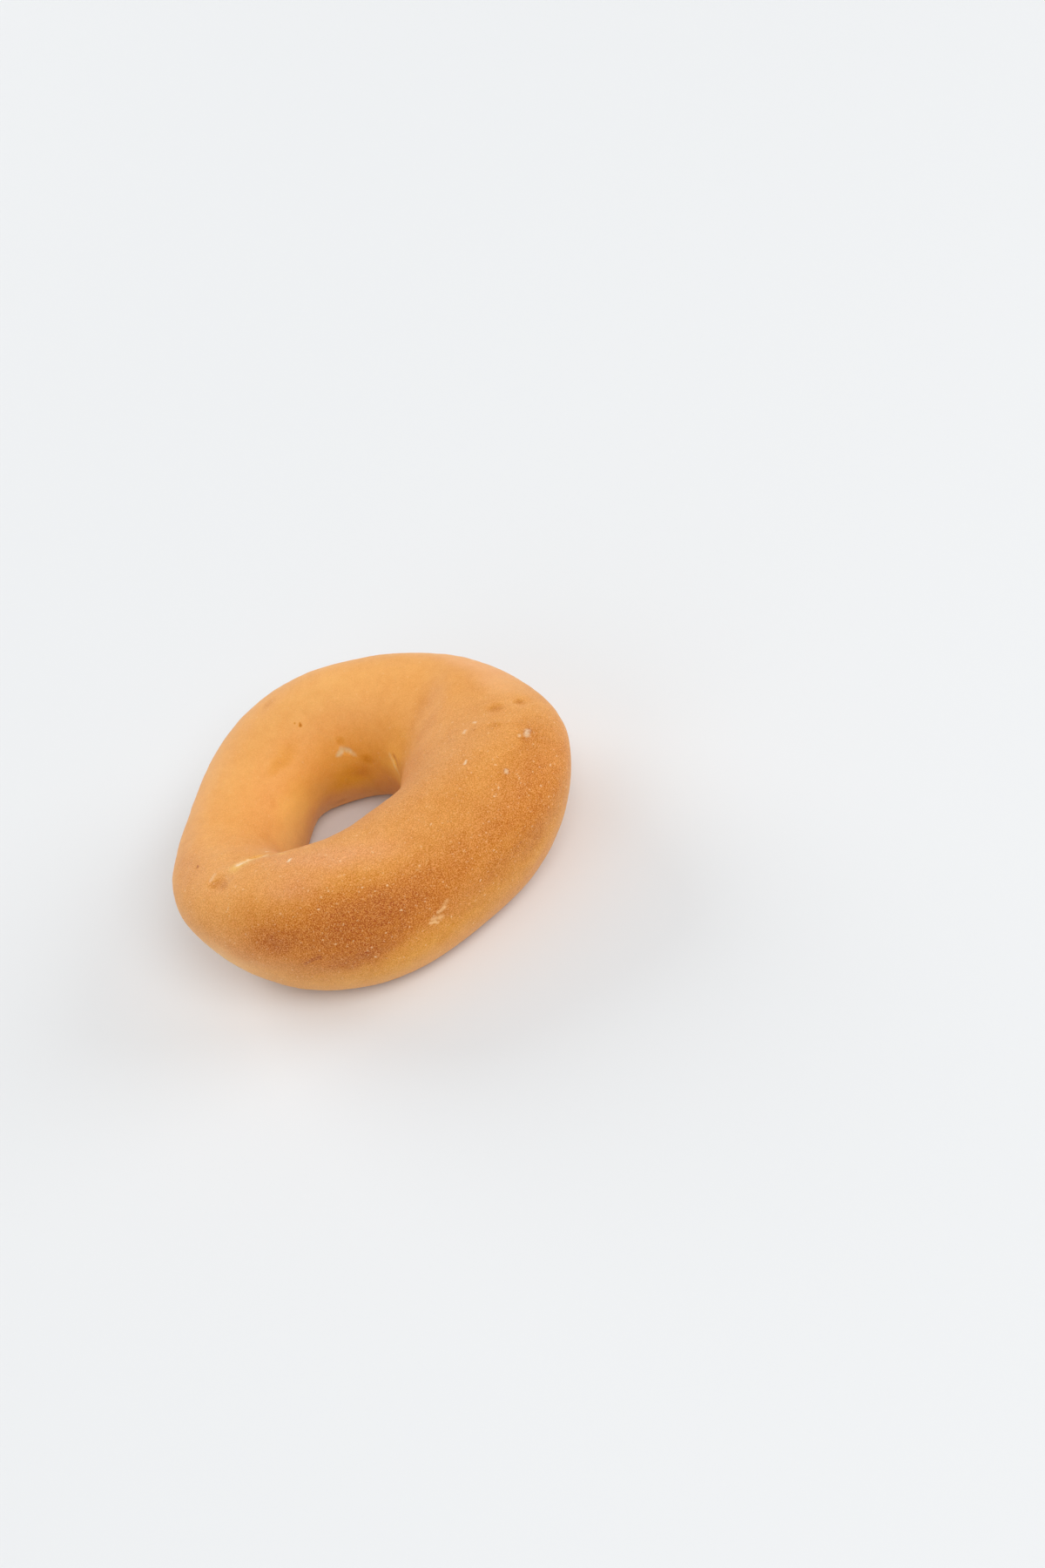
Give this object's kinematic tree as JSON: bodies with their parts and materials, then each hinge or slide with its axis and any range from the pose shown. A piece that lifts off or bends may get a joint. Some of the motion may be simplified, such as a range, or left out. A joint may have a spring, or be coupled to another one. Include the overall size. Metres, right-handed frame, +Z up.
{
  "type": "bagel",
  "caption": "Plain baked bagel: an uneven hand-rolled ring of dough with a smooth golden crust, a small off-centre hole and a flat underside.",
  "frame": {"origin": "middle of the bounding box in X and Y, at the flat underside (z = 0)", "axes": "+Z up through the hole, from the underside to the crest; +X along the longest width, towards the thicker side of the ring; -Y is the front, the side that is browned most"},
  "size_m": [0.1066, 0.0972, 0.0393],
  "materials": {
    "crust": "soft satin-matte baked crust, golden tan, browned in streaks along the outer side and paler at the hole and the foot, with fine pale blisters"
  },
  "bodies": {
    "root": {"bagel": "crust"}
  },
  "joints": []
}
